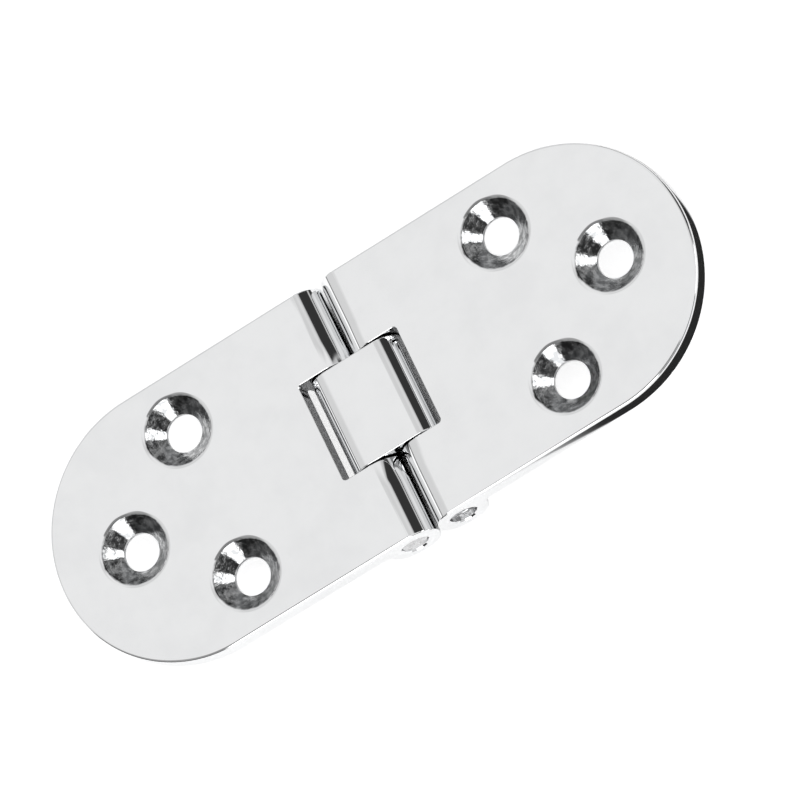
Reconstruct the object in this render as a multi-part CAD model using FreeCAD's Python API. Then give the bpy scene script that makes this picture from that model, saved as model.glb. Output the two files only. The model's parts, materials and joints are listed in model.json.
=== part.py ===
import FreeCAD, Part
import math
import os

# Flush folding hinge for a drop leaf table: two half-oval leaves, each with a pin through
# its knuckles, and a short link that both pins pass through. Laid open the leaves and the
# link are level on top; folded, each leaf turns 90 degrees and the two tops meet.
# Millimetres. X runs along the open hinge, Y along the pins, Z up. The origin is under the
# middle of the link, level with the bottom of the knuckles.

# Driving dimensions
# Leaf plate
leaf_reach = 40.0            # from the middle of the hinge to a leaf's round end
leaf_width = 30.5            # across the leaf, along the pins
plate_thickness = 2.4
top_edge_round = 1.0         # round on the plate's outer top edge
bottom_edge_bevel = 0.2
# Countersunk screw holes, placed from the leaf's round end and sides
screw_hole_diameter = 4.2
screw_land = 0.5             # straight wall left under the countersink
countersink_angle = 90.0
countersink_rim_bevel = 0.2  # along the cone and along the top, from their sharp corner
far_screw_from_end = 9.4
near_screws_from_end = 19.45
near_screws_from_side = 6.25
# Pins and knuckles
pin_diameter = 3.1
pin_shortfall = 1.2          # how much shorter a pin is than the leaf is wide
pin_chamfer = 0.3
left_pin_setback = 0.15      # front end of the pin behind the front of the knuckle
right_pin_setback = 0.9
barrel_wall = 1.45           # metal round the pin
barrel_end_bevel = 0.25      # on the edges of the knuckles' outer ends
barrel_mouth_chamfer = 0.15  # bevel at the mouths of the pin holes
barrel_root_round = 0.8      # hollow round between a knuckle and the plate's underside
leaf_gap = 0.2               # between the two leaves' barrels
# Notch and link
link_width = 11.65
link_side_clearance = 0.15
notch_swing_clearance = 0.2  # notch wall to the circle that the barrel turns in
notch_corner_round = 0.4
link_end_gap = 0.75          # notch wall to the link's rounded end
link_end_round = 2.6
link_edge_bevel = 0.15
link_pin_clearance = 0.05    # radial, so that the link turns freely on the pins

# Worked out from the driving dimensions
pin_radius = pin_diameter / 2
barrel_radius = pin_radius + barrel_wall
pin_x = barrel_radius + leaf_gap / 2
pin_z = barrel_radius
top_z = 2 * barrel_radius
under_z = top_z - plate_thickness
side_y = leaf_width / 2
notch_x = pin_x + barrel_radius + notch_swing_clearance
notch_y = link_width / 2 + link_side_clearance
end_centre_x = leaf_reach - side_y
link_end_x = notch_x - link_end_gap
screw_points = [
    (leaf_reach - far_screw_from_end, 0.0),
    (leaf_reach - near_screws_from_end, side_y - near_screws_from_side),
    (leaf_reach - near_screws_from_end, near_screws_from_side - side_y),
]

TINY = 1e-4
ALONG_Y = FreeCAD.Vector(0, 1, 0)
UP = FreeCAD.Vector(0, 0, 1)


def at(x, y, z):
    return FreeCAD.Vector(x, y, z)


def outline_face(edges):
    """A flat face from edges given in order round its outline."""
    return Part.Face(Part.Wire(edges))


def straight(*points):
    """Straight edges from each point to the next."""
    return [Part.makeLine(a, b) for a, b in zip(points, points[1:])]


def arc(first, middle, last):
    return Part.Arc(first, middle, last).toShape()


def rounded(shape, radius, wanted):
    """Round the edges that the test picks."""
    return shape.makeFillet(radius, [edge for edge in shape.Edges if wanted(edge)])


def bevelled(shape, size, wanted):
    """Bevel the edges that the test picks."""
    return shape.makeChamfer(size, [edge for edge in shape.Edges if wanted(edge)])


def lies_at(edge, axis, place):
    """True if the whole edge lies at one place along an axis."""
    box = edge.BoundBox
    low = getattr(box, axis + "Min")
    high = getattr(box, axis + "Max")
    return abs(low - place) < TINY and abs(high - place) < TINY


def plate():
    """The right leaf's flat plate, from the notch wall to the round end."""
    outline = straight(
        at(end_centre_x, side_y, under_z),
        at(notch_x, side_y, under_z),
        at(notch_x, -side_y, under_z),
        at(end_centre_x, -side_y, under_z),
    )
    outline.append(arc(
        at(end_centre_x, -side_y, under_z),
        at(leaf_reach, 0, under_z),
        at(end_centre_x, side_y, under_z),
    ))
    slab = outline_face(outline).extrude(UP * plate_thickness)
    slab = rounded(
        slab, top_edge_round,
        lambda edge: lies_at(edge, "Z", top_z) and not lies_at(edge, "X", notch_x),
    )
    return bevelled(
        slab, bottom_edge_bevel,
        lambda edge: lies_at(edge, "Z", under_z) and not lies_at(edge, "X", notch_x),
    )


def knuckle(outer_y):
    """One round knuckle of the right leaf, between the notch and the side at outer_y.

    The barrel is level with the plate's top, and a hollow round joins it to the underside.
    """
    inner_y = math.copysign(notch_y, outer_y)
    root_z = under_z - barrel_root_round
    root_away = barrel_radius + barrel_root_round
    root_x = pin_x + math.sqrt(root_away ** 2 - (root_z - pin_z) ** 2)
    share = barrel_radius / root_away
    touch = at(pin_x + (root_x - pin_x) * share, inner_y, pin_z + (root_z - pin_z) * share)
    slope = math.atan2(touch.z - pin_z, touch.x - pin_x)
    hollow = (slope + math.pi + math.pi / 2) / 2
    hollow_middle = at(
        root_x + barrel_root_round * math.cos(hollow),
        inner_y,
        root_z + barrel_root_round * math.sin(hollow),
    )
    crown = at(pin_x, inner_y, top_z)
    outline = straight(
        at(root_x, inner_y, under_z),
        at(notch_x, inner_y, under_z),
        at(notch_x, inner_y, top_z),
        crown,
    )
    outline.append(arc(crown, at(pin_x - barrel_radius, inner_y, pin_z), at(pin_x, inner_y, 0)))
    low_turn = (slope - math.pi / 2) / 2
    low_middle = at(
        pin_x + barrel_radius * math.cos(low_turn),
        inner_y,
        pin_z + barrel_radius * math.sin(low_turn),
    )
    outline.append(arc(at(pin_x, inner_y, 0), low_middle, touch))
    outline.append(arc(touch, hollow_middle, at(root_x, inner_y, under_z)))
    bar = outline_face(outline).extrude(ALONG_Y * (outer_y - inner_y))
    return bevelled(
        bar, barrel_end_bevel,
        lambda edge: lies_at(edge, "Y", outer_y) and edge.BoundBox.XMin < pin_x + TINY,
    )


def screw_hole(x, y):
    """The space that a countersunk screw hole takes out of the plate."""
    half_angle = math.radians(countersink_angle / 2)
    hole_radius = screw_hole_diameter / 2
    cone_depth = plate_thickness - screw_land
    mouth_radius = hole_radius + cone_depth * math.tan(half_angle)
    rim_radius = mouth_radius + countersink_rim_bevel
    cone_top = at(
        mouth_radius - countersink_rim_bevel * math.sin(half_angle), 0,
        top_z - countersink_rim_bevel * math.cos(half_angle),
    )
    above = top_z + screw_land
    below = under_z - screw_land
    section = straight(
        at(rim_radius, 0, top_z),
        at(rim_radius, 0, above),
        at(0, 0, above),
        at(0, 0, below),
        at(hole_radius, 0, below),
        at(hole_radius, 0, top_z - cone_depth),
        cone_top,
        at(rim_radius, 0, top_z),
    )
    space = outline_face(section).revolve(at(0, 0, 0), UP, 360)
    return space.translate(at(x, y, 0))


def pin_hole():
    """The space for the pin through both knuckles, with a bevel at each mouth."""
    mouth_radius = pin_radius + barrel_mouth_chamfer
    bevel_y = side_y - barrel_mouth_chamfer
    section = straight(
        at(0, -side_y, 0),
        at(mouth_radius, -side_y, 0),
        at(pin_radius, -bevel_y, 0),
        at(pin_radius, bevel_y, 0),
        at(mouth_radius, side_y, 0),
        at(0, side_y, 0),
        at(0, -side_y, 0),
    )
    space = outline_face(section).revolve(at(0, 0, 0), ALONG_Y, 360)
    return space.translate(at(pin_x, 0, pin_z))


def in_notch_corner(edge):
    """The two upright inner corners of the notch."""
    upright = lies_at(edge, "X", notch_x) and edge.BoundBox.ZLength > plate_thickness - TINY
    return upright and abs(abs(edge.BoundBox.YMin) - notch_y) < TINY


def leaf():
    """The right leaf, lying open."""
    shape = plate().fuse([knuckle(side_y), knuckle(-side_y)]).removeSplitter()
    shape = rounded(shape, notch_corner_round, in_notch_corner)
    return shape.cut([pin_hole()] + [screw_hole(x, y) for x, y in screw_points])


def pin(setback):
    """The right leaf's pin, its front end set back from the front of the knuckle."""
    length = leaf_width - pin_shortfall
    shaft = Part.makeCylinder(pin_radius, length, at(pin_x, setback - side_y, pin_z), ALONG_Y)
    return bevelled(shaft, pin_chamfer, lambda edge: edge.BoundBox.YLength < TINY)


def link():
    """The middle link: a block, rounded at the top of both ends, turning on both pins."""
    half_width = link_width / 2
    shoulder_x = link_end_x - link_end_round
    shoulder_z = top_z - link_end_round
    slant = link_end_round * math.sqrt(0.5)
    outline = straight(
        at(-link_end_x, -half_width, shoulder_z),
        at(-link_end_x, -half_width, 0),
        at(link_end_x, -half_width, 0),
        at(link_end_x, -half_width, shoulder_z),
    )
    outline.append(arc(
        at(link_end_x, -half_width, shoulder_z),
        at(shoulder_x + slant, -half_width, shoulder_z + slant),
        at(shoulder_x, -half_width, top_z),
    ))
    outline += straight(at(shoulder_x, -half_width, top_z), at(-shoulder_x, -half_width, top_z))
    outline.append(arc(
        at(-shoulder_x, -half_width, top_z),
        at(-shoulder_x - slant, -half_width, shoulder_z + slant),
        at(-link_end_x, -half_width, shoulder_z),
    ))
    block = outline_face(outline).extrude(ALONG_Y * link_width)
    block = bevelled(block, link_edge_bevel, lambda edge: edge.BoundBox.YLength < TINY)
    bore_radius = pin_radius + link_pin_clearance
    bores = [
        Part.makeCylinder(bore_radius, link_width, at(x, -half_width, pin_z), ALONG_Y)
        for x in (-pin_x, pin_x)
    ]
    return block.cut(bores)


def mirrored(shape):
    """The same piece on the left side of the hinge."""
    return shape.mirror(at(0, 0, 0), at(1, 0, 0))


right_leaf = leaf()
pieces = {
    "left_leaf": mirrored(right_leaf),
    "right_leaf": right_leaf,
    "link": link(),
    "left_pin": mirrored(pin(left_pin_setback)),
    "right_pin": pin(right_pin_setback),
}

os.makedirs("parts", exist_ok=True)
for name, shape in pieces.items():
    solids = shape.Solids
    assert len(solids) == 1 and shape.isValid(), name
    solids[0].exportStep("parts/" + name + ".step")
    box = shape.optimalBoundingBox()
    print(name, "volume", round(shape.Volume, 1), "size",
          round(box.XLength, 2), round(box.YLength, 2), round(box.ZLength, 2))
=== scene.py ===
import json
import math

import bmesh
import bpy
from mathutils import Matrix, Quaternion, Vector


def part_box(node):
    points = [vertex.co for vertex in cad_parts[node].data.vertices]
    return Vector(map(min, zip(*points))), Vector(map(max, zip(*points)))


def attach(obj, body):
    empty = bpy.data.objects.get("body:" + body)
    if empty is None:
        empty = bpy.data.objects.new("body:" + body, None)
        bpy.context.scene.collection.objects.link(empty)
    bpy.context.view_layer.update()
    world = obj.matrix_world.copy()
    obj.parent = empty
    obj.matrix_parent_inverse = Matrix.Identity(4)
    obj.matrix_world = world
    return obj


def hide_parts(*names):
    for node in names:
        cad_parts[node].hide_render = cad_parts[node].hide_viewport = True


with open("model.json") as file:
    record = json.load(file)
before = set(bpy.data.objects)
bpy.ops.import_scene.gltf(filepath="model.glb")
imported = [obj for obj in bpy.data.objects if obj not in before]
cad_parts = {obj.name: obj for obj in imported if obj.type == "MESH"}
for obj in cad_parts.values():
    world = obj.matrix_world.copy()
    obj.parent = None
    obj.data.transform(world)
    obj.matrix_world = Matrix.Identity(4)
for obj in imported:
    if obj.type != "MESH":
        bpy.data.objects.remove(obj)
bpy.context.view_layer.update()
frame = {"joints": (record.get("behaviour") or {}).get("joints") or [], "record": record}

# The hinge is modelled in millimetres, and each finished piece is shrunk to the frame's metres.
MM = 0.001
TINY = 0.004
FLAT = math.radians(0.1)

# Sizes taken from the frame
leaf_low, leaf_high = [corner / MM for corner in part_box("right_leaf")]
link_low, link_high = [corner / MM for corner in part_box("link")]
pin_low, pin_high = [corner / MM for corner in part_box("right_pin")]
left_pin_low, left_pin_high = [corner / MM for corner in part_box("left_pin")]
joint_places = {joint["name"]: joint["pos_m"] for joint in frame["joints"]}
mounts = {mount["name"]: mount for mount in frame["record"]["mounts"]}
pin_x = joint_places["right_fold"][0] / MM
pin_z = joint_places["right_fold"][2] / MM
leaf_end_x = leaf_high.x
side_y = leaf_high.y
top_z = leaf_high.z
under_z = mounts["right_back_face"]["pos_m"][2] / MM
barrel_radius = pin_x - leaf_low.x
pin_radius = (pin_high.x - pin_low.x) / 2
link_side_y = link_high.y
end_centre_x = leaf_end_x - side_y
far_screw_x = mounts["right_far_screw"]["pos_m"][0] / MM
near_screws_x = mounts["right_near_screws"]["pos_m"][0] / MM
near_screws_y = mounts["right_near_screws"]["dims"]["spacing_y_mm"] / 2
screw_hole_radius = mounts["right_far_screw"]["dims"]["r_mm"]
screw_land = mounts["right_far_screw"]["dims"]["length_mm"]
plate_thickness = top_z - under_z

# Sizes of the finish, in millimetres
top_edge_round = 0.4
outer_edge_round = 0.22         # on the back of the plate and round the barrels' ends
barrel_mouth_bevel = 0.15
root_round = 0.8
notch_swing_clearance = 0.2
link_side_clearance = 0.15
link_pin_clearance = 0.05
notch_x = pin_x + barrel_radius + notch_swing_clearance
notch_y = link_side_y + link_side_clearance
notch_corner_round = 0.4
notch_rim_round = 0.1
countersink_rim_round = 0.8
link_end_round = 2.6
link_edge_round = 0.15
link_bore_radius = pin_radius + link_pin_clearance
pin_bevel = 0.3
spare = 1.0                     # how far a cutting shape reaches past what it cuts

# Steps of the round forms
end_facets = 96                 # round a leaf's end
barrel_steps = 110
root_steps = 22
pin_steps = 96
countersink_steps = 128
link_end_steps = 40

# Turns, in radians: an edge that turns by more is rounded
outline_turn = 0.5
sharp_turn = 1.0
smooth_angle = 25.0             # in degrees; sharper turns stay crisp

ALONG_X = (1, 0, 0)
ALONG_Y = (0, 1, 0)
UP = (0, 0, 1)


# Modelling steps

def clear_selection():
    if bpy.context.mode != "OBJECT":
        bpy.ops.object.mode_set(mode="OBJECT")
    bpy.ops.object.select_all(action="DESELECT")


def take(piece):
    """Make one piece the only selected and active one."""
    clear_selection()
    piece.select_set(True)
    bpy.context.view_layer.objects.active = piece


def edit(piece):
    take(piece)
    bpy.ops.object.mode_set(mode="EDIT")


def done():
    bpy.ops.object.mode_set(mode="OBJECT")


def pick(piece, kind, test):
    """In edit mode, select only the corners, edges or faces that pass the test."""
    bpy.ops.mesh.select_mode(type=kind)
    bpy.ops.mesh.select_all(action="DESELECT")
    mesh = bmesh.from_edit_mesh(piece.data)
    mesh.normal_update()
    parts = {"VERT": mesh.verts, "EDGE": mesh.edges, "FACE": mesh.faces}[kind]
    for part in [part for part in parts if test(part)]:
        part.select_set(True)
    bmesh.update_edit_mesh(piece.data)


def slide(x, y, z):
    """Extrude what is selected and move it."""
    bpy.ops.mesh.extrude_region_move(TRANSFORM_OT_translate={"value": (x, y, z)})


def facing_out():
    bpy.ops.mesh.select_all(action="SELECT")
    bpy.ops.mesh.normals_make_consistent(inside=False)


def start_point(name, x, y, z):
    """A new piece that is one point, in edit mode, to draw a section from."""
    clear_selection()
    bpy.ops.mesh.primitive_plane_add(size=1.0)
    piece = bpy.context.object
    piece.name = name
    bpy.ops.object.mode_set(mode="EDIT")
    bpy.ops.mesh.select_mode(type="VERT")
    bpy.ops.mesh.select_all(action="SELECT")
    bpy.ops.mesh.merge(type="CENTER")
    bpy.ops.transform.translate(value=(x, y, z))
    return piece


def start_block(name, low, high):
    """A new block between two corners, in edit mode."""
    clear_selection()
    bpy.ops.mesh.primitive_cube_add(size=1.0)
    piece = bpy.context.object
    piece.name = name
    bpy.ops.object.mode_set(mode="EDIT")
    bpy.ops.mesh.select_all(action="SELECT")
    size = [b - a for a, b in zip(low, high)]
    middle = [(a + b) / 2 for a, b in zip(low, high)]
    bpy.ops.transform.resize(value=size)
    bpy.ops.transform.translate(value=middle)
    return piece


def sweep(angle, steps, centre, axis):
    """Carry the selected point round an arc, or the selected section round an axis.

    The angle is right-handed; spin itself counts the other way.
    """
    bpy.ops.mesh.spin(steps=steps, angle=-angle, center=centre, axis=axis)


def close_section():
    """Join the drawn line's ends and fill it."""
    bpy.ops.mesh.select_all(action="SELECT")
    bpy.ops.mesh.remove_doubles(threshold=TINY / 4)
    bpy.ops.mesh.edge_face_add()


def shape_with(piece, other, operation):
    """Cut the other shape out of the piece, or keep only what they share."""
    take(piece)
    step = piece.modifiers.new("shape", "BOOLEAN")
    step.operation = operation
    step.solver = "EXACT"
    step.object = other
    bpy.ops.object.modifier_apply(modifier=step.name)
    bpy.data.objects.remove(other)
    edit(piece)
    bpy.ops.mesh.select_all(action="SELECT")
    bpy.ops.mesh.remove_doubles(threshold=TINY / 4)
    done()


def joined(*shapes):
    """Several separate shapes as one."""
    take(shapes[0])
    for shape in shapes:
        shape.select_set(True)
    bpy.ops.object.join()
    return bpy.context.object


def soften(offset, segments):
    """Round the selected edges."""
    bpy.ops.mesh.bevel(
        offset_type="OFFSET", offset=offset, segments=segments, profile=0.5,
        affect="EDGES", clamp_overlap=False,
    )


def both_at(edge, axis, place):
    return all(abs(corner.co[axis] - place) < TINY for corner in edge.verts)


def runs_along(edge, axis):
    """True for an edge that is longer than a millimetre along an axis."""
    first, last = edge.verts
    return abs(first.co[axis] - last.co[axis]) > 1


def turn_of(edge):
    """Angle between the two faces that meet at the edge."""
    if len(edge.link_faces) != 2:
        return 0.0
    return edge.calc_face_angle(0.0)


def mirrored(piece, name):
    """A copy on the left side of the hinge, with its own mesh."""
    take(piece)
    bpy.ops.object.duplicate()
    copy = bpy.context.object
    copy.name = name
    bpy.ops.object.mode_set(mode="EDIT")
    bpy.ops.mesh.select_all(action="SELECT")
    bpy.ops.transform.resize(value=(-1, 1, 1), center_override=(0, 0, 0))
    facing_out()
    done()
    return copy


def finish_piece(piece):
    """Shade the piece, and shrink it from millimetres to metres."""
    edit(piece)
    bpy.ops.mesh.select_all(action="SELECT")
    bpy.ops.mesh.delete_loose()
    facing_out()
    bpy.ops.transform.resize(value=(MM, MM, MM), center_override=(0, 0, 0))
    done()
    take(piece)
    bpy.ops.object.shade_smooth_by_angle(angle=math.radians(smooth_angle))
    even = piece.modifiers.new("even shading", "WEIGHTED_NORMAL")
    even.keep_sharp = True
    even.weight = 80
    bpy.ops.object.modifier_apply(modifier=even.name)


# Leaves

def leaf_bar():
    """The section of barrel, hollow round and plate, drawn from the crown, as one long bar."""
    start_y = -side_y - spare
    root_z = under_z - root_round
    root_away = barrel_radius + root_round
    root_x = pin_x + math.sqrt(root_away ** 2 - (root_z - pin_z) ** 2)
    slope = math.atan2(root_z - pin_z, root_x - pin_x)
    piece = start_point("right_leaf_chromed", pin_x, start_y, top_z)
    sweep(-(1.5 * math.pi + slope), barrel_steps, (pin_x, start_y, pin_z), ALONG_Y)
    sweep(math.pi / 2 + slope, root_steps, (root_x, start_y, root_z), ALONG_Y)
    slide(leaf_end_x + spare - root_x, 0, 0)
    slide(0, 0, plate_thickness)
    slide(pin_x - leaf_end_x - spare, 0, 0)
    close_section()
    slide(0, 2 * (side_y + spare), 0)
    facing_out()
    done()
    return piece


def half_oval():
    """The leaf's outline from above, as a tall prism."""
    clear_selection()
    bpy.ops.mesh.primitive_circle_add(vertices=2 * end_facets, radius=side_y, fill_type="NGON")
    piece = bpy.context.object
    bpy.ops.object.mode_set(mode="EDIT")
    bpy.ops.mesh.select_all(action="SELECT")
    bpy.ops.mesh.bisect(plane_co=(0, 0, 0), plane_no=ALONG_X, clear_inner=True, threshold=TINY)
    bpy.ops.mesh.select_all(action="SELECT")
    bpy.ops.transform.translate(value=(end_centre_x, 0, -spare))
    pick(piece, "EDGE", lambda edge: both_at(edge, 0, end_centre_x))
    slide(-end_centre_x - spare, 0, 0)
    bpy.ops.mesh.select_all(action="SELECT")
    slide(0, 0, top_z + 2 * spare)
    facing_out()
    bpy.ops.mesh.dissolve_limited(angle_limit=FLAT)
    done()
    return piece


def on_outline(edge):
    """True for an edge on the leaf's sides or round end."""
    for corner in edge.verts:
        x, y, _ = corner.co
        away = math.hypot(max(x - end_centre_x, 0), y)
        if abs(away - side_y) > TINY:
            return False
    return True


def break_outer_edges(piece):
    """A small round on every edge of the leaf's sides, round end and barrel ends."""
    edit(piece)
    pick(piece, "EDGE", lambda edge: on_outline(edge) and turn_of(edge) > outline_turn)
    soften(outer_edge_round, 5)
    done()


def top_edge_space():
    """What the wide round takes off the top edge, carried on until the barrels drop away."""
    low_z = top_z - top_edge_round
    inner_y = top_edge_round - side_y
    piece = start_point("top_edge_space", 0, -side_y, low_z)
    sweep(-math.pi / 2, 12, (0, inner_y, low_z), ALONG_X)
    slide(0, 0, spare)
    slide(0, -top_edge_round - spare, 0)
    slide(0, 0, -top_edge_round - spare)
    slide(0, spare, 0)
    close_section()
    slide(end_centre_x, 0, 0)
    sweep(math.pi, end_facets, (end_centre_x, 0, 0), UP)
    slide(-end_centre_x, 0, 0)
    facing_out()
    done()
    return piece


def notch_space():
    """The link's room in the plate, with rounded corners at the wall."""
    piece = start_block(
        "notch_space", (-2 * spare, -notch_y, under_z - spare), (notch_x, notch_y, top_z + spare),
    )
    pick(piece, "EDGE", lambda edge: both_at(edge, 0, notch_x) and runs_along(edge, 2))
    soften(notch_corner_round, 8)
    facing_out()
    done()
    return piece


def bar_middle_space():
    """What is left of the barrel bar under the notch."""
    past_root = 1.3 * notch_x
    piece = start_block(
        "bar_middle_space", (-2 * spare, -notch_y, -spare), (past_root, notch_y, under_z + TINY),
    )
    facing_out()
    done()
    return piece


def round_notch_rim(piece):
    """Break the notch's rim and the barrels' inner ends."""
    edit(piece)
    bpy.ops.mesh.select_all(action="SELECT")
    bpy.ops.mesh.dissolve_limited(angle_limit=FLAT)

    def rim(edge):
        for corner in edge.verts:
            x, y, z = corner.co
            on_barrel = abs(abs(y) - notch_y) < TINY and x < pin_x + TINY
            on_top = abs(y) < notch_y + TINY and x < notch_x + TINY and z > top_z - TINY
            if not (on_barrel or on_top):
                return False
        return turn_of(edge) > sharp_turn

    pick(piece, "EDGE", rim)
    soften(notch_rim_round, 3)
    done()


def divide_at_screws(piece):
    """Divide the leaf along the lines of screws, so that no face goes all round a hole."""
    edit(piece)
    for x in (near_screws_x, far_screw_x):
        bpy.ops.mesh.select_all(action="SELECT")
        bpy.ops.mesh.bisect(plane_co=(x, 0, 0), plane_no=ALONG_X, threshold=TINY / 4)
    for y in (-near_screws_y, 0, near_screws_y):
        bpy.ops.mesh.select_all(action="SELECT")
        bpy.ops.mesh.bisect(plane_co=(0, y, 0), plane_no=ALONG_Y, threshold=TINY / 4)
    done()


def pin_hole_space(radius, mouth):
    """A round bar along the pin, flared at both mouths."""
    piece = start_point("pin_hole_space", pin_x, -side_y - spare, pin_z)
    slide(radius + mouth, 0, 0)
    slide(0, spare, 0)
    slide(-mouth, mouth, 0)
    slide(0, 2 * (side_y - mouth), 0)
    slide(mouth, mouth, 0)
    slide(0, spare, 0)
    slide(-radius - mouth, 0, 0)
    bpy.ops.mesh.select_all(action="SELECT")
    sweep(2 * math.pi, pin_steps, (pin_x, 0, pin_z), ALONG_Y)
    bpy.ops.mesh.select_all(action="SELECT")
    bpy.ops.mesh.remove_doubles(threshold=TINY / 4)
    facing_out()
    done()
    return piece


def screw_hole_space(x, y):
    """The straight hole, the countersink and its rounded rim, turned round the screw's axis."""
    cone_depth = plate_thickness - screw_land
    mouth_radius = screw_hole_radius + cone_depth
    rim = countersink_rim_round * math.tan(math.pi / 8)
    slant = rim * math.sqrt(0.5)
    piece = start_point("screw_hole_space", x, y, under_z - spare)
    slide(screw_hole_radius, 0, 0)
    slide(0, 0, screw_land + spare)
    slide(cone_depth - slant, 0, cone_depth - slant)
    rim_centre = (x + mouth_radius + rim, y, top_z - countersink_rim_round)
    sweep(math.pi / 4, 8, rim_centre, ALONG_Y)
    slide(0, 0, spare)
    slide(-mouth_radius - rim, 0, 0)
    bpy.ops.mesh.select_all(action="SELECT")
    sweep(2 * math.pi, countersink_steps, (x, y, 0), UP)
    bpy.ops.mesh.select_all(action="SELECT")
    bpy.ops.mesh.remove_doubles(threshold=TINY / 4)
    facing_out()
    done()
    return piece


def leaf():
    """The right leaf."""
    piece = leaf_bar()
    shape_with(piece, half_oval(), "INTERSECT")
    break_outer_edges(piece)
    shape_with(piece, top_edge_space(), "DIFFERENCE")
    shape_with(piece, notch_space(), "DIFFERENCE")
    shape_with(piece, bar_middle_space(), "DIFFERENCE")
    round_notch_rim(piece)
    divide_at_screws(piece)
    holes = joined(
        pin_hole_space(pin_radius, barrel_mouth_bevel),
        screw_hole_space(far_screw_x, 0),
        screw_hole_space(near_screws_x, near_screws_y),
        screw_hole_space(near_screws_x, -near_screws_y),
    )
    shape_with(piece, holes, "DIFFERENCE")
    return piece


# Link and pins

def link():
    """The middle block, rounded at the top of both ends, with a bore for each pin."""
    piece = start_block("link_chromed", link_low, link_high)
    pick(piece, "EDGE", lambda edge: both_at(edge, 2, top_z) and runs_along(edge, 1))
    soften(link_end_round, link_end_steps)

    def side_rim(edge):
        on_side = both_at(edge, 1, link_side_y) or both_at(edge, 1, -link_side_y)
        return on_side and turn_of(edge) > sharp_turn

    pick(piece, "EDGE", side_rim)
    soften(link_edge_round, 4)
    facing_out()
    done()
    bore = pin_hole_space(link_bore_radius, 0.0)
    other_bore = mirrored(bore, "other_bore")
    shape_with(piece, joined(bore, other_bore), "DIFFERENCE")
    return piece


def pin(name, low, high):
    """A pin between two ends, bevelled at both."""
    clear_selection()
    bpy.ops.mesh.primitive_cylinder_add(
        vertices=pin_steps, radius=pin_radius, depth=high.y - low.y,
    )
    piece = bpy.context.object
    piece.name = name
    bpy.ops.object.mode_set(mode="EDIT")
    bpy.ops.mesh.select_all(action="SELECT")
    bpy.ops.transform.rotate(value=math.pi / 2, orient_axis="X", center_override=(0, 0, 0))
    bpy.ops.transform.translate(value=(low + high) / 2)
    pick(piece, "EDGE", lambda edge: both_at(edge, 1, low.y) or both_at(edge, 1, high.y))
    soften(pin_bevel, 3)
    facing_out()
    done()
    return piece


right_leaf = leaf()
left_leaf = mirrored(right_leaf, "left_leaf_chromed")
link_block = link()
right_pin = pin("right_pin_steel", pin_low, pin_high)
left_pin = pin("left_pin_steel", left_pin_low, left_pin_high)
for piece in (right_leaf, left_leaf, link_block, right_pin, left_pin):
    finish_piece(piece)

for piece, node, body, finish_slot in (
    (right_leaf, "right_leaf", "right_side", "leaf_chrome"),
    (left_leaf, "left_leaf", "left_side", "leaf_chrome"),
    (link_block, "link", "middle", "link_chrome"),
    (right_pin, "right_pin", "right_side", "pin_steel"),
    (left_pin, "left_pin", "left_side", "pin_steel"),
):
    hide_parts(node)
    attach(piece, body)


# Finishes

cutter_ring_rate = 52000.0      # radians per metre, in the countersinks
turning_ring_rate = 42000.0     # on the pins' ends


def add_node(tree, kind, **settings):
    """A new node with its settings."""
    node = tree.nodes.new(kind)
    for setting, value in settings.items():
        setattr(node, setting, value)
    return node


def feed(tree, node, **inputs):
    """Give a node's inputs their values or links; spaces in names are written as underscores."""
    for name, value in inputs.items():
        socket = node.inputs[name.replace("_", " ")]
        if isinstance(value, bpy.types.NodeSocket):
            tree.links.new(value, socket)
        else:
            socket.default_value = value
    return node


def calculated(tree, operation, *values):
    """The result of one sum on values or links."""
    node = add_node(tree, "ShaderNodeMath", operation=operation)
    for socket, value in zip(node.inputs, values):
        if isinstance(value, bpy.types.NodeSocket):
            tree.links.new(value, socket)
        else:
            socket.default_value = value
    return node.outputs[0]


def eased(tree, value, low, high, start, end):
    """A value carried softly from one range to another."""
    node = add_node(tree, "ShaderNodeMapRange", interpolation_type="SMOOTHSTEP")
    feed(tree, node, Value=value, From_Min=low, From_Max=high, To_Min=start, To_Max=end)
    return node.outputs["Result"]


def noise(tree, place, scale, detail):
    node = add_node(tree, "ShaderNodeTexNoise")
    feed(tree, node, Vector=place, Scale=scale, Detail=detail, Roughness=0.55)
    return node.outputs["Fac"]


def stretched(tree, place, scale, turn):
    """Coordinates drawn out along a line that is turned about the upright axis."""
    node = add_node(tree, "ShaderNodeMapping")
    feed(tree, node, Vector=place, Rotation=(0, 0, math.radians(turn)), Scale=scale)
    return node.outputs["Vector"]


def distance(tree, across, along):
    """How far a point lies from the middle, from its two offsets."""
    across = calculated(tree, "MULTIPLY", across, across)
    return calculated(tree, "SQRT", calculated(tree, "MULTIPLY_ADD", along, along, across))


def offset(tree, value, middle):
    """How far a value on either side of the hinge lies from a place."""
    return calculated(tree, "SUBTRACT", calculated(tree, "ABSOLUTE", value), middle * MM)


def from_screws(tree, across, along):
    """How far a point lies from the nearest screw's axis."""
    near = distance(tree, offset(tree, across, near_screws_x), offset(tree, along, near_screws_y))
    far = distance(tree, offset(tree, across, far_screw_x), along)
    return calculated(tree, "MINIMUM", near, far)


def blended(tree, factor, first, second):
    """Two tones, each given as a colour or a link, mixed by a factor."""
    node = add_node(tree, "ShaderNodeMix", data_type="RGBA")
    tree.links.new(factor, node.inputs["Factor"])
    for socket, tone in ((node.inputs[6], first), (node.inputs[7], second)):
        if isinstance(tone, bpy.types.NodeSocket):
            tree.links.new(tone, socket)
        else:
            socket.default_value = (*tone, 1)
    return node.outputs[2]


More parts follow.
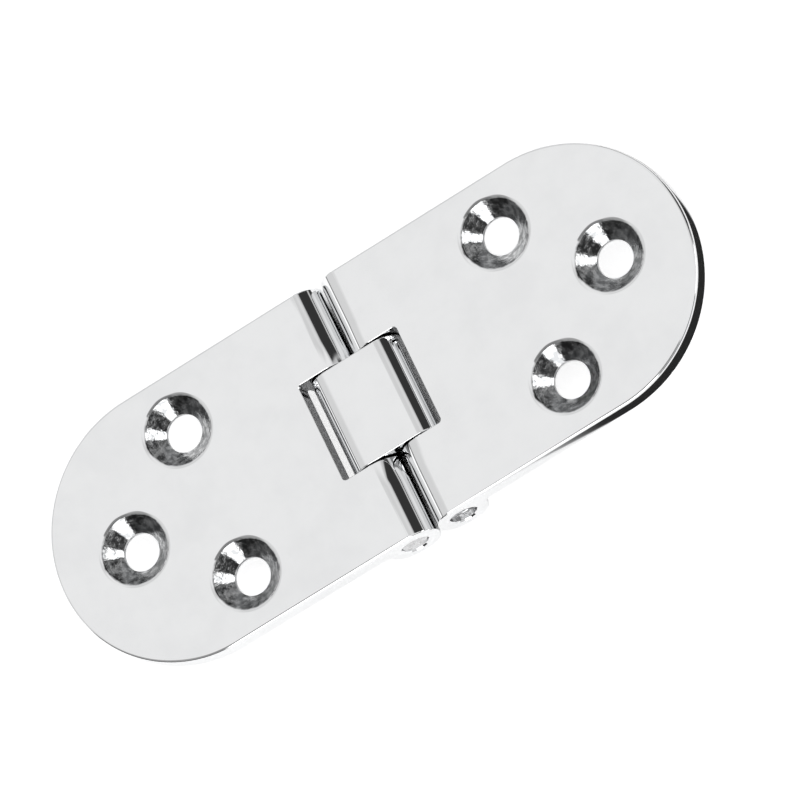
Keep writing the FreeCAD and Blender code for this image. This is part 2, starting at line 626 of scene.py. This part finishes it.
def new_group(name, outputs):
    tree = bpy.data.node_groups.new(name, "ShaderNodeTree")
    for output in outputs:
        kind = "NodeSocketColor" if output == "Tone" else "NodeSocketFloat"
        tree.interface.new_socket(name=output, in_out="OUTPUT", socket_type=kind)
    return tree


def plating_group():
    """Bright plating: slow waves in the polish, cloudy wiping marks and a few hair scratches.

    In the countersinks a darker tone, in patches, is painted shade in the hollows; they show the
    cutter's rings.
    """
    tree = new_group("bright_plating", ("Tone", "Dullness", "Height"))
    place = add_node(tree, "ShaderNodeTexCoord").outputs["Object"]
    apart = add_node(tree, "ShaderNodeSeparateXYZ")
    feed(tree, apart, Vector=place)
    across, along, rise = apart.outputs
    away = from_screws(tree, across, along)
    sink_radius = screw_hole_radius + plate_thickness - screw_land
    in_sink = eased(tree, away, (sink_radius - 0.2) * MM, sink_radius * MM, 1.0, 0.0)
    above = eased(tree, rise, (under_z + 0.02) * MM, (under_z + 0.1) * MM, 0.0, 1.0)
    in_sink = calculated(tree, "MULTIPLY", in_sink, above)

    waves = noise(tree, place, 55.0, 1.0)
    clouds = noise(tree, place, 240.0, 3.0)
    specks = noise(tree, place, 1400.0, 3.0)
    fine = noise(tree, place, 5200.0, 2.0)
    hairs = noise(tree, stretched(tree, place, (260.0, 9000.0, 900.0), 24.0), 1.0, 1.0)
    hair_mask = eased(tree, hairs, 0.70, 0.78, 0.0, 1.0)
    rings = calculated(tree, "SINE", calculated(tree, "MULTIPLY", away, cutter_ring_rate))
    rings = calculated(tree, "MULTIPLY", calculated(tree, "MULTIPLY", rings, specks), in_sink)

    dullness = eased(tree, clouds, 0.35, 0.75, 0.035, 0.075)
    dullness = calculated(tree, "MULTIPLY_ADD", hair_mask, 0.03, dullness)
    sink_dullness = calculated(tree, "MULTIPLY", in_sink, eased(tree, specks, 0.3, 0.7, 0.02, 0.10))
    dullness = calculated(tree, "ADD", dullness, sink_dullness)
    height = calculated(tree, "MULTIPLY_ADD", fine, 0.010, waves)
    height = calculated(tree, "MULTIPLY_ADD", hair_mask, -0.012, height)
    height = calculated(tree, "MULTIPLY_ADD", rings, 0.3, height)
    dents = calculated(tree, "MULTIPLY", specks, in_sink)
    height = calculated(tree, "MULTIPLY_ADD", dents, 9.0, height)
    cloudy = eased(tree, clouds, 0.3, 0.8, 0.0, 1.0)
    tone = blended(tree, cloudy, (0.925, 0.930, 0.935), (0.885, 0.890, 0.897))
    # Painted shade: the countersinks' tone is darkened, in patches.
    shade_patches = eased(tree, specks, 0.38, 0.62, 0.0, 1.0)
    sink_painted_shade = blended(tree, shade_patches, (0.28, 0.285, 0.29), (0.66, 0.665, 0.67))
    tone = blended(tree, in_sink, tone, sink_painted_shade)
    output = add_node(tree, "NodeGroupOutput")
    feed(tree, output, Tone=tone, Dullness=dullness, Height=height)
    return tree


def turned_group():
    """Turned steel: fine rings and a dull face on the ends, faint drawing lines along the side."""
    tree = new_group("turned_steel", ("Tone", "Dullness", "Height"))
    coordinates = add_node(tree, "ShaderNodeTexCoord")
    place = coordinates.outputs["Object"]
    apart = add_node(tree, "ShaderNodeSeparateXYZ")
    feed(tree, apart, Vector=place)
    facing = add_node(tree, "ShaderNodeSeparateXYZ")
    feed(tree, facing, Vector=coordinates.outputs["Normal"])
    end_on = calculated(tree, "ABSOLUTE", facing.outputs["Y"])
    end_mask = eased(tree, end_on, 0.5, 0.95, 0.0, 1.0)
    rise = calculated(tree, "SUBTRACT", apart.outputs["Z"], pin_z * MM)
    away = distance(tree, offset(tree, apart.outputs["X"], pin_x), rise)
    rings = calculated(tree, "SINE", calculated(tree, "MULTIPLY", away, turning_ring_rate))
    lines = noise(tree, stretched(tree, place, (6000.0, 120.0, 6000.0), 0.0), 1.0, 2.0)
    spots = noise(tree, place, 1500.0, 3.0)
    height = calculated(tree, "MULTIPLY_ADD", rings, 0.2, lines)
    dullness = eased(tree, spots, 0.3, 0.75, 0.16, 0.30)
    dullness = calculated(tree, "MULTIPLY_ADD", end_mask, 0.04, dullness)
    spotty = eased(tree, spots, 0.3, 0.8, 0.0, 1.0)
    side_tone = blended(tree, spotty, (0.80, 0.805, 0.81), (0.66, 0.665, 0.67))
    end_tone = blended(tree, spotty, (0.72, 0.72, 0.725), (0.54, 0.54, 0.545))
    tone = blended(tree, end_mask, side_tone, end_tone)
    output = add_node(tree, "NodeGroupOutput")
    feed(tree, output, Tone=tone, Dullness=dullness, Height=height)
    return tree


def metal(name, group, depth):
    """A bare metal that takes its tone, dullness and fine relief from a group."""
    material = bpy.data.materials.new(name)
    material.use_nodes = True
    tree = material.node_tree
    marks = add_node(tree, "ShaderNodeGroup", node_tree=group)
    relief = add_node(tree, "ShaderNodeBump")
    feed(tree, relief, Strength=1.0, Distance=depth, Height=marks.outputs["Height"])
    shader = tree.nodes["Principled BSDF"]
    feed(tree, shader, Base_Color=marks.outputs["Tone"], Metallic=1.0)
    feed(tree, shader, Roughness=marks.outputs["Dullness"], Normal=relief.outputs["Normal"])
    return material


plating = plating_group()
leaf_chrome = metal("leaf_chrome", plating, 0.004 * MM)
link_chrome = metal("link_chrome", plating, 0.003 * MM)
pin_steel = metal("pin_steel", turned_group(), 0.006 * MM)
for piece, finish in (
    (right_leaf, leaf_chrome),
    (left_leaf, leaf_chrome),
    (link_block, link_chrome),
    (right_pin, pin_steel),
    (left_pin, pin_steel),
):
    piece.data.materials.clear()
    piece.data.materials.append(finish)


# Floor, light and camera

floor_glow = 0.67               # as the camera sees it
floor_mirror_glow = 0.46        # as the chrome sees it
floor_hole_share = 0.8          # of that glow, as the screw holes' walls see it


def floor():
    """A pale floor that keeps a faint shadow.

    It glows a little for the camera, and for the chrome where the hinge doesn't cover it. For
    the chrome alone it is dark just off the right end, whose wall so shows a dark band that
    gets thinner along the front.
    """
    clear_selection()
    bpy.ops.mesh.primitive_plane_add(size=12.0, location=(0, 0, 0))
    piece = bpy.context.object
    piece.name = "floor"
    material = bpy.data.materials.new("pale_floor")
    material.use_nodes = True
    tree = material.node_tree
    place = add_node(tree, "ShaderNodeTexCoord").outputs["Object"]
    tone = blended(tree, noise(tree, place, 30.0, 3.0), (0.90, 0.90, 0.90), (0.87, 0.87, 0.87))
    apart = add_node(tree, "ShaderNodeSeparateXYZ")
    feed(tree, apart, Vector=place)
    across, along, _ = apart.outputs
    path = add_node(tree, "ShaderNodeLightPath")

    past_straight = calculated(tree, "MAXIMUM", offset(tree, across, end_centre_x), 0.0)
    beyond = calculated(tree, "SUBTRACT", distance(tree, past_straight, along), side_y * MM)
    outside = eased(tree, beyond, -2.0 * MM, 0.5 * MM, 0.0, 1.0)
    lit_hole = eased(tree, from_screws(tree, across, along), 3.0 * MM, 6.0 * MM, 1.0, 0.0)
    lit_hole = calculated(tree, "MULTIPLY", lit_hole, floor_hole_share)
    bright = calculated(tree, "MAXIMUM", outside, lit_hole)

    slant = calculated(tree, "MULTIPLY_ADD", along, -0.75, across)
    right_end = eased(tree, slant, 16.0 * MM, 34.0 * MM, 0.0, 1.0)
    begin = eased(tree, slant, 14.0 * MM, 42.0 * MM, 2.4 * MM, 0.9 * MM)
    past_begin = calculated(tree, "SUBTRACT", beyond, begin)
    near_limit = eased(tree, past_begin, 0.0, 0.3 * MM, 0.0, 1.0)
    far_limit = eased(tree, beyond, 4.0 * MM, 10.0 * MM, 1.0, 0.0)
    shade = calculated(tree, "MULTIPLY", near_limit, far_limit)
    shade = calculated(tree, "MULTIPLY", shade, right_end)
    shade = calculated(tree, "MULTIPLY", shade, path.outputs["Is Glossy Ray"])

    tone = blended(tree, shade, tone, (0.02, 0.02, 0.02))
    bright = calculated(tree, "MAXIMUM", calculated(tree, "SUBTRACT", bright, shade), 0.0)
    bright = calculated(tree, "MULTIPLY", bright, floor_mirror_glow)
    in_chrome = calculated(tree, "MULTIPLY", path.outputs["Is Glossy Ray"], bright)
    glow = calculated(tree, "MULTIPLY_ADD", path.outputs["Is Camera Ray"], floor_glow, in_chrome)
    shader = tree.nodes["Principled BSDF"]
    feed(tree, shader, Base_Color=tone, Roughness=0.9, Emission_Color=(1, 1, 1, 1))
    feed(tree, shader, Emission_Strength=glow)
    piece.data.materials.append(material)


floor()


def studio():
    """A white room seen in the chrome, with dark flats and bright soft boxes round the hinge."""
    world = bpy.data.worlds.new("studio")
    world.use_nodes = True
    tree = world.node_tree
    apart = add_node(tree, "ShaderNodeSeparateXYZ")
    feed(tree, apart, Vector=add_node(tree, "ShaderNodeTexCoord").outputs["Generated"])
    across, along, rise = apart.outputs
    turn = calculated(tree, "DEGREES", calculated(tree, "ARCTAN2", along, across))
    height = calculated(tree, "DEGREES", calculated(tree, "ARCSINE", rise))

    def panel(under, middle, half_width, low, high, soft, level):
        """Lay a soft-edged panel over what is there; the angles are in degrees."""
        sideways = calculated(tree, "SUBTRACT", turn, middle)
        sideways = calculated(tree, "ABSOLUTE", calculated(tree, "WRAP", sideways, 180.0, -180.0))
        mask = eased(tree, sideways, half_width - soft, half_width + soft, 1.0, 0.0)
        above = eased(tree, height, low - soft, low + soft, 0.0, 1.0)
        below = eased(tree, height, high - soft, high + soft, 1.0, 0.0)
        mask = calculated(tree, "MULTIPLY", mask, calculated(tree, "MULTIPLY", above, below))
        mix = add_node(tree, "ShaderNodeMix", data_type="FLOAT")
        feed(tree, mix, Factor=mask, A=under, B=level)
        return mix.outputs[0]

    # Middle and half width of each panel, its low and high edge, its softness and its level
    light = eased(tree, height, -5.0, 60.0, 0.62, 0.87)
    high_grey = panel(light, 64.0, 30.0, 60.0, 74.0, 8.0, 0.66)
    left_room = panel(high_grey, 150.0, 60.0, -30.0, 50.0, 8.0, 0.70)
    left_white = panel(left_room, 150.0, 30.0, -30.0, 14.0, 1.5, 1.15)
    left_line = panel(left_white, 150.0, 30.0, 15.0, 19.0, 1.5, 0.15)
    grey_corner = panel(left_line, -145.0, 34.0, 25.0, 60.0, 8.0, 0.35)
    dark_corner = panel(grey_corner, -148.0, 36.0, -4.0, 23.0, 3.0, 0.04)
    dim_edge = panel(dark_corner, 27.0, 22.0, 20.0, 57.5, 5.0, 0.55)
    dark_flat = panel(dim_edge, 27.0, 15.0, -10.0, 53.0, 2.0, 0.035)
    low_flat = panel(dark_flat, 45.0, 28.0, -5.0, 13.0, 2.0, 0.04)
    low_strip = panel(low_flat, 27.0, 15.0, 12.0, 18.0, 1.5, 0.55)
    behind_camera = panel(low_strip, -38.0, 48.0, 17.0, 32.0, 2.0, 0.07)
    ceiling_gap = panel(behind_camera, -100.0, 45.0, 40.0, 76.0, 3.0, 0.25)
    left_box = panel(ceiling_gap, -97.0, 17.0, 14.0, 44.0, 3.0, 3.0)
    right_box = panel(left_box, -12.0, 14.0, 18.0, 28.0, 2.0, 3.4)

    path = add_node(tree, "ShaderNodeLightPath")
    seen = add_node(tree, "ShaderNodeMix", data_type="FLOAT")
    feed(tree, seen, Factor=path.outputs["Is Camera Ray"], A=right_box, B=1.0)
    feed(tree, tree.nodes["Background"], Color=(1, 1, 1, 1), Strength=seen.outputs[0])
    bpy.context.scene.world = world


studio()

# The camera's place, turned round the point that it aims at
view_azimuth = 37.044
view_elevation = 64.272
view_roll = -65.984
view_distance = 1.0112
view_lens = 430.6
aim = Vector((0.003184, -0.001476, 0.005956))


def camera():
    data = bpy.data.cameras.new("camera")
    data.sensor_width = 36.0
    data.lens = view_lens
    holder = bpy.data.objects.new("camera", data)
    bpy.context.scene.collection.objects.link(holder)
    turn = math.radians(view_azimuth)
    rise = math.radians(view_elevation)
    back = Vector((
        math.sin(turn) * math.cos(rise), -math.cos(turn) * math.cos(rise), math.sin(rise),
    ))
    look = (-back).to_track_quat("-Z", "Y")
    roll = Quaternion((0, 0, 1), math.radians(view_roll))
    holder.matrix_world = Matrix.Translation(aim + back * view_distance) @ (
        look @ roll).to_matrix().to_4x4()
    bpy.context.scene.camera = holder


camera()
bpy.context.scene.view_settings.view_transform = "Standard"
